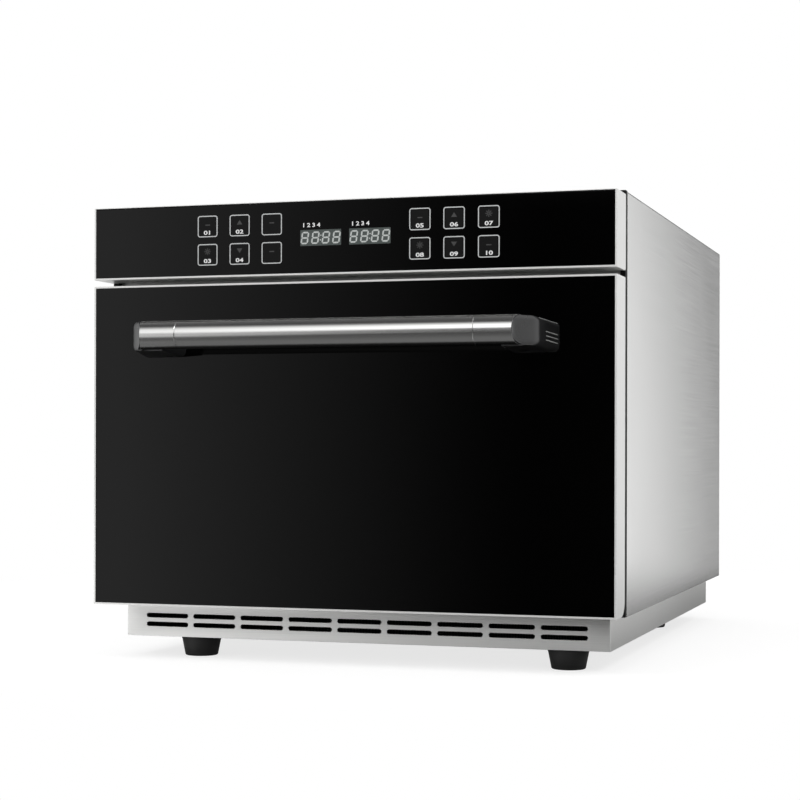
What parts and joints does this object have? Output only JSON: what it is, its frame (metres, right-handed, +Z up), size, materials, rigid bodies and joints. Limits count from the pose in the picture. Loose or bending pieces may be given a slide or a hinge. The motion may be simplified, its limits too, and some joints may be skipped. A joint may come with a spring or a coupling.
{
  "type": "speed oven",
  "caption": "Countertop speed oven with a drop-down glass door, tube handle, touch control head, steel body and vented plinth on rubber feet.",
  "frame": {"origin": "centre of the bounding box on the surface under the feet", "axes": "+X towards the oven's right side seen from the front, +Y towards its back, +Z up; the door faces -Y"},
  "size_m": [0.62, 0.8702, 0.5318],
  "materials": {
    "brushed_steel": "brushed stainless steel, satin",
    "bright_steel": "polished stainless steel",
    "cavity_steel": "bright stainless liner",
    "zinc_sheet": "zinc plated sheet",
    "black_glass": "glossy black back-painted glass",
    "black_rubber": "matte black rubber",
    "dark_casting": "dark satin coated casting",
    "white_wool": "pale mineral wool",
    "ceramic_deck": "off-white cordierite",
    "heater_sheath": "dark oxidised heater sheath",
    "dark_metal": "varnished motor steel",
    "green_board": "green circuit board",
    "display_face": "grey-green display face",
    "black_plastic": "black moulded plastic",
    "grey_plastic": "light grey moulded plastic"
  },
  "bodies": {
    "chassis": {"plinth_tray": "brushed_steel", "air_filter": "zinc_sheet", "foot_front_left": "black_rubber", "foot_front_right": "black_rubber", "foot_rear_left": "black_rubber", "foot_rear_right": "black_rubber", "rear_panel": "brushed_steel", "cable_gland": "black_plastic", "chassis_floor": "zinc_sheet", "body_wrapper": "brushed_steel", "front_frame": "brushed_steel", "front_seal": "black_rubber", "cavity_liner": "cavity_steel", "insulation_jacket": "white_wool", "fan_baffle": "cavity_steel", "convection_motor": "dark_metal", "ring_heater": "heater_sheath", "upper_heater": "heater_sheath", "lower_heater": "heater_sheath", "rack_runner_left": "cavity_steel", "rack_runner_right": "cavity_steel", "ceramic_deck": "ceramic_deck", "waveguide": "zinc_sheet", "magnetron": "zinc_sheet", "stirrer_motor": "dark_metal", "hv_transformer": "dark_metal", "hv_capacitor": "grey_plastic", "cooling_fan_frame": "black_plastic", "board_tray": "zinc_sheet", "relay_board": "green_board", "control_housing": "brushed_steel", "control_glass": "black_glass", "display_left": "display_face", "display_right": "display_face", "touch_board": "green_board", "head_bracket": "zinc_sheet", "hinge_arm_left": "zinc_sheet", "hinge_arm_right": "zinc_sheet", "interlock_switch_left": "black_plastic", "interlock_switch_right": "black_plastic"},
    "door": {"door_shell": "brushed_steel", "door_glass": "black_glass", "door_inner_panel": "brushed_steel", "door_gasket": "black_rubber", "hinge_pin_left": "bright_steel", "hinge_pin_right": "bright_steel", "latch_tongue_left": "bright_steel", "latch_tongue_right": "bright_steel", "handle_bar": "bright_steel", "handle_sleeve_left": "bright_steel", "handle_sleeve_right": "bright_steel", "handle_bracket_left": "dark_casting", "handle_bracket_right": "dark_casting"},
    "rack": {"oven_rack": "bright_steel"},
    "convection_rotor": {"convection_impeller": "cavity_steel"},
    "stirrer": {"mode_stirrer": "cavity_steel"},
    "cooling_rotor": {"cooling_blades": "black_plastic"},
    "plunger_left": {"switch_plunger_left": "grey_plastic"},
    "plunger_right": {"switch_plunger_right": "grey_plastic"}
  },
  "joints": [
    {"name": "door_hinge", "type": "hinge", "parent": "chassis", "child": "door", "pos_m": [0, -0.3361, 0.0818], "axis": [1, 0, 0], "range_deg": [0, 90]},
    {"name": "rack_slide", "type": "slide", "parent": "chassis", "child": "rack", "axis": [0, -1, 0], "range_m": [0, 0.036]},
    {"name": "convection_spin", "type": "hinge", "parent": "chassis", "child": "convection_rotor", "pos_m": [0, 0.0559, 0.2488], "axis": [0, 1, 0], "continuous": true},
    {"name": "stirrer_spin", "type": "hinge", "parent": "chassis", "child": "stirrer", "pos_m": [0, -0.1253, 0.1398], "axis": [0, 0, 1], "continuous": true},
    {"name": "cooling_spin", "type": "hinge", "parent": "chassis", "child": "cooling_rotor", "pos_m": [-0.15, 0.3909, 0.1828], "axis": [0, 1, 0], "continuous": true},
    {"name": "plunger_left_slide", "type": "slide", "parent": "chassis", "child": "plunger_left", "axis": [0, -1, 0], "range_m": [0, 0.004]},
    {"name": "plunger_right_slide", "type": "slide", "parent": "chassis", "child": "plunger_right", "axis": [0, -1, 0], "range_m": [0, 0.004]}
  ],
  "couplings": [
    {"joint": "plunger_left_slide", "follows": "door_hinge", "m_per_rad": 0.002546},
    {"joint": "plunger_right_slide", "follows": "door_hinge", "m_per_rad": 0.002546}
  ]
}
